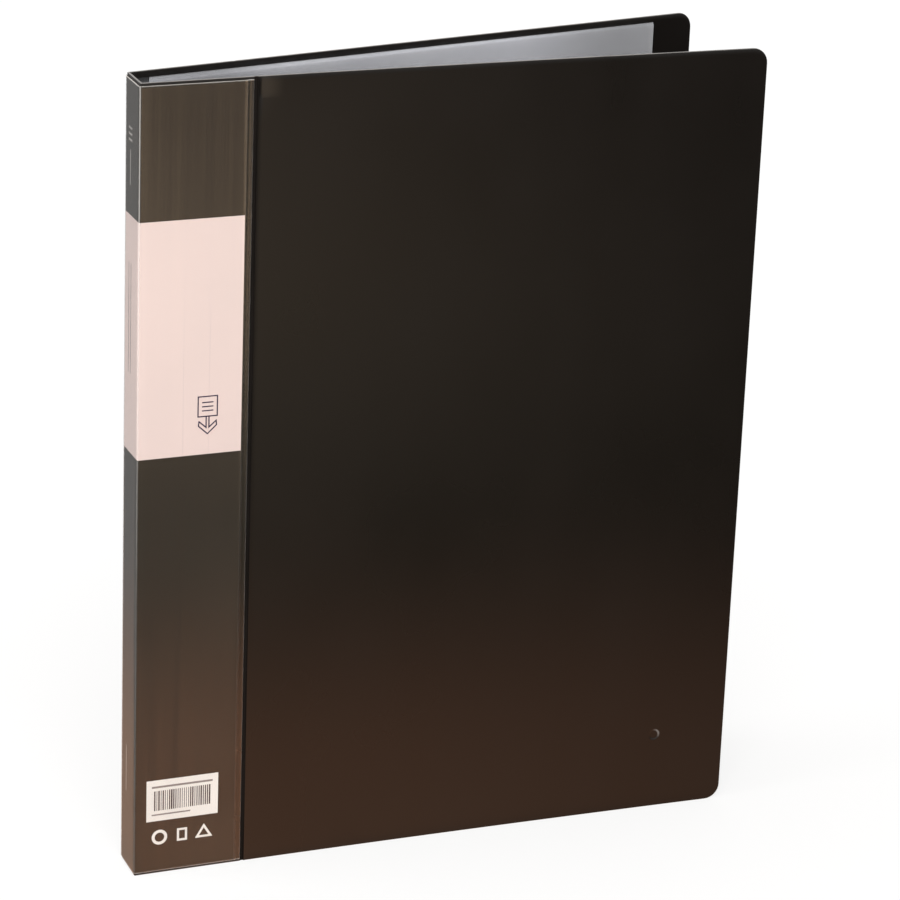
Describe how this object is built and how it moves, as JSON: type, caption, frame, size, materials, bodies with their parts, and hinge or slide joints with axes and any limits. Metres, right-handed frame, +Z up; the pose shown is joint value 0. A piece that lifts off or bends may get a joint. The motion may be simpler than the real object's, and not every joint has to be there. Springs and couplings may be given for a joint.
{
  "type": "pocket display book",
  "caption": "Standing document book with a folded plastic cover, a clear sleeve with a printed insert round the spine, and a welded block of clear top-loading pockets inside.",
  "frame": {"origin": "middle of the standing book's footprint box, on the surface that it stands on", "axes": "+Z up along the spine, +X from the spine along the front cover to its free edge, -Y out of the front cover's face"},
  "size_m": [0.2454, 0.062, 0.31],
  "materials": {
    "cover_sheet": "satin",
    "sleeve_film": "gloss",
    "insert_paper": "satin",
    "pocket_film": "satin",
    "binding": "satin"
  },
  "bodies": {
    "spine": {"spine_panel": "cover_sheet", "front_fold": "cover_sheet", "rear_fold": "cover_sheet", "spine_sleeve": "sleeve_film"},
    "front_cover": {"front_cover": "cover_sheet", "front_sleeve": "sleeve_film"},
    "back_cover": {"back_cover": "cover_sheet", "back_sleeve": "sleeve_film", "binding_bar": "binding"},
    "insert_spine": {"spine_insert": "insert_paper"},
    "insert_front": {"front_insert": "insert_paper"},
    "insert_back": {"back_insert": "insert_paper"},
    "pocket_01": {"pocket_01": "pocket_film"},
    "pocket_02": {"pocket_02": "pocket_film"},
    "pocket_03": {"pocket_03": "pocket_film"},
    "pocket_04": {"pocket_04": "pocket_film"},
    "pocket_05": {"pocket_05": "pocket_film"},
    "pocket_06": {"pocket_06": "pocket_film"},
    "pocket_07": {"pocket_07": "pocket_film"},
    "pocket_08": {"pocket_08": "pocket_film"},
    "pocket_09": {"pocket_09": "pocket_film"},
    "pocket_10": {"pocket_10": "pocket_film"},
    "pocket_11": {"pocket_11": "pocket_film"},
    "pocket_12": {"pocket_12": "pocket_film"},
    "pocket_13": {"pocket_13": "pocket_film"},
    "pocket_14": {"pocket_14": "pocket_film"},
    "pocket_15": {"pocket_15": "pocket_film"},
    "pocket_16": {"pocket_16": "pocket_film"},
    "pocket_17": {"pocket_17": "pocket_film"},
    "pocket_18": {"pocket_18": "pocket_film"},
    "pocket_19": {"pocket_19": "pocket_film"},
    "pocket_20": {"pocket_20": "pocket_film"}
  },
  "joints": [
    {"name": "front_cover_hinge", "type": "hinge", "parent": "spine", "child": "front_cover", "pos_m": [-0.12185, -0.03013, 0], "axis": [0, 0, -1], "range_deg": [0, 90]},
    {"name": "back_cover_hinge", "type": "hinge", "parent": "spine", "child": "back_cover", "pos_m": [-0.12185, -0.01393, 0], "axis": [0, 0, 1], "range_deg": [-10.5, 79.5]},
    {"name": "insert_slide", "type": "slide", "parent": "spine", "child": "insert_spine", "axis": [0, 0, 1], "range_m": [0, 0.3]},
    {"name": "insert_front_slide", "type": "slide", "parent": "front_cover", "child": "insert_front", "axis": [0, 0, 1], "range_m": [0, 0.3]},
    {"name": "insert_back_slide", "type": "slide", "parent": "back_cover", "child": "insert_back", "axis": [0, 0, 1], "range_m": [0, 0.3]},
    {"name": "pocket_01_hinge", "type": "hinge", "parent": "back_cover", "child": "pocket_01", "pos_m": [-0.11631, -0.02076, 0], "axis": [0, 0, -1], "range_deg": [0, 85.72]},
    {"name": "pocket_02_hinge", "type": "hinge", "parent": "back_cover", "child": "pocket_02", "pos_m": [-0.11618, -0.02036, 0], "axis": [0, 0, -1], "range_deg": [0, 81.43]},
    {"name": "pocket_03_hinge", "type": "hinge", "parent": "back_cover", "child": "pocket_03", "pos_m": [-0.11606, -0.01995, 0], "axis": [0, 0, -1], "range_deg": [0, 77.14]},
    {"name": "pocket_04_hinge", "type": "hinge", "parent": "back_cover", "child": "pocket_04", "pos_m": [-0.11593, -0.01955, 0], "axis": [0, 0, -1], "range_deg": [0, 72.86]},
    {"name": "pocket_05_hinge", "type": "hinge", "parent": "back_cover", "child": "pocket_05", "pos_m": [-0.1158, -0.01914, 0], "axis": [0, 0, -1], "range_deg": [0, 68.57]},
    {"name": "pocket_06_hinge", "type": "hinge", "parent": "back_cover", "child": "pocket_06", "pos_m": [-0.11567, -0.01874, 0], "axis": [0, 0, -1], "range_deg": [0, 64.29]},
    {"name": "pocket_07_hinge", "type": "hinge", "parent": "back_cover", "child": "pocket_07", "pos_m": [-0.11554, -0.01833, 0], "axis": [0, 0, -1], "range_deg": [0, 60]},
    {"name": "pocket_08_hinge", "type": "hinge", "parent": "back_cover", "child": "pocket_08", "pos_m": [-0.11541, -0.01793, 0], "axis": [0, 0, -1], "range_deg": [0, 55.72]},
    {"name": "pocket_09_hinge", "type": "hinge", "parent": "back_cover", "child": "pocket_09", "pos_m": [-0.11529, -0.01752, 0], "axis": [0, 0, -1], "range_deg": [0, 51.43]},
    {"name": "pocket_10_hinge", "type": "hinge", "parent": "back_cover", "child": "pocket_10", "pos_m": [-0.11516, -0.01712, 0], "axis": [0, 0, -1], "range_deg": [0, 47.14]},
    {"name": "pocket_11_hinge", "type": "hinge", "parent": "back_cover", "child": "pocket_11", "pos_m": [-0.11503, -0.01671, 0], "axis": [0, 0, -1], "range_deg": [0, 42.86]},
    {"name": "pocket_12_hinge", "type": "hinge", "parent": "back_cover", "child": "pocket_12", "pos_m": [-0.1149, -0.01631, 0], "axis": [0, 0, -1], "range_deg": [0, 38.57]},
    {"name": "pocket_13_hinge", "type": "hinge", "parent": "back_cover", "child": "pocket_13", "pos_m": [-0.11477, -0.0159, 0], "axis": [0, 0, -1], "range_deg": [0, 34.29]},
    {"name": "pocket_14_hinge", "type": "hinge", "parent": "back_cover", "child": "pocket_14", "pos_m": [-0.11464, -0.0155, 0], "axis": [0, 0, -1], "range_deg": [0, 30]},
    {"name": "pocket_15_hinge", "type": "hinge", "parent": "back_cover", "child": "pocket_15", "pos_m": [-0.11452, -0.01509, 0], "axis": [0, 0, -1], "range_deg": [0, 25.71]},
    {"name": "pocket_16_hinge", "type": "hinge", "parent": "back_cover", "child": "pocket_16", "pos_m": [-0.11439, -0.01469, 0], "axis": [0, 0, -1], "range_deg": [0, 21.43]},
    {"name": "pocket_17_hinge", "type": "hinge", "parent": "back_cover", "child": "pocket_17", "pos_m": [-0.11426, -0.01428, 0], "axis": [0, 0, -1], "range_deg": [0, 17.14]},
    {"name": "pocket_18_hinge", "type": "hinge", "parent": "back_cover", "child": "pocket_18", "pos_m": [-0.11413, -0.01388, 0], "axis": [0, 0, -1], "range_deg": [0, 12.86]},
    {"name": "pocket_19_hinge", "type": "hinge", "parent": "back_cover", "child": "pocket_19", "pos_m": [-0.114, -0.01347, 0], "axis": [0, 0, -1], "range_deg": [0, 8.57]},
    {"name": "pocket_20_hinge", "type": "hinge", "parent": "back_cover", "child": "pocket_20", "pos_m": [-0.11387, -0.01307, 0], "axis": [0, 0, -1], "range_deg": [0, 4.29]}
  ],
  "couplings": [
    {"joint": "insert_front_slide", "follows": "insert_slide", "ratio": 1},
    {"joint": "insert_back_slide", "follows": "insert_slide", "ratio": 1},
    {"joint": "pocket_01_hinge", "follows": "front_cover_hinge", "ratio": 0.95238},
    {"joint": "pocket_02_hinge", "follows": "front_cover_hinge", "ratio": 0.90476},
    {"joint": "pocket_03_hinge", "follows": "front_cover_hinge", "ratio": 0.85714},
    {"joint": "pocket_04_hinge", "follows": "front_cover_hinge", "ratio": 0.80952},
    {"joint": "pocket_05_hinge", "follows": "front_cover_hinge", "ratio": 0.76191},
    {"joint": "pocket_06_hinge", "follows": "front_cover_hinge", "ratio": 0.71429},
    {"joint": "pocket_07_hinge", "follows": "front_cover_hinge", "ratio": 0.66667},
    {"joint": "pocket_08_hinge", "follows": "front_cover_hinge", "ratio": 0.61905},
    {"joint": "pocket_09_hinge", "follows": "front_cover_hinge", "ratio": 0.57143},
    {"joint": "pocket_10_hinge", "follows": "front_cover_hinge", "ratio": 0.52381},
    {"joint": "pocket_11_hinge", "follows": "front_cover_hinge", "ratio": 0.47619},
    {"joint": "pocket_12_hinge", "follows": "front_cover_hinge", "ratio": 0.42857},
    {"joint": "pocket_13_hinge", "follows": "front_cover_hinge", "ratio": 0.38095},
    {"joint": "pocket_14_hinge", "follows": "front_cover_hinge", "ratio": 0.33333},
    {"joint": "pocket_15_hinge", "follows": "front_cover_hinge", "ratio": 0.28571},
    {"joint": "pocket_16_hinge", "follows": "front_cover_hinge", "ratio": 0.2381},
    {"joint": "pocket_17_hinge", "follows": "front_cover_hinge", "ratio": 0.19048},
    {"joint": "pocket_18_hinge", "follows": "front_cover_hinge", "ratio": 0.14286},
    {"joint": "pocket_19_hinge", "follows": "front_cover_hinge", "ratio": 0.095238},
    {"joint": "pocket_20_hinge", "follows": "front_cover_hinge", "ratio": 0.047619}
  ]
}
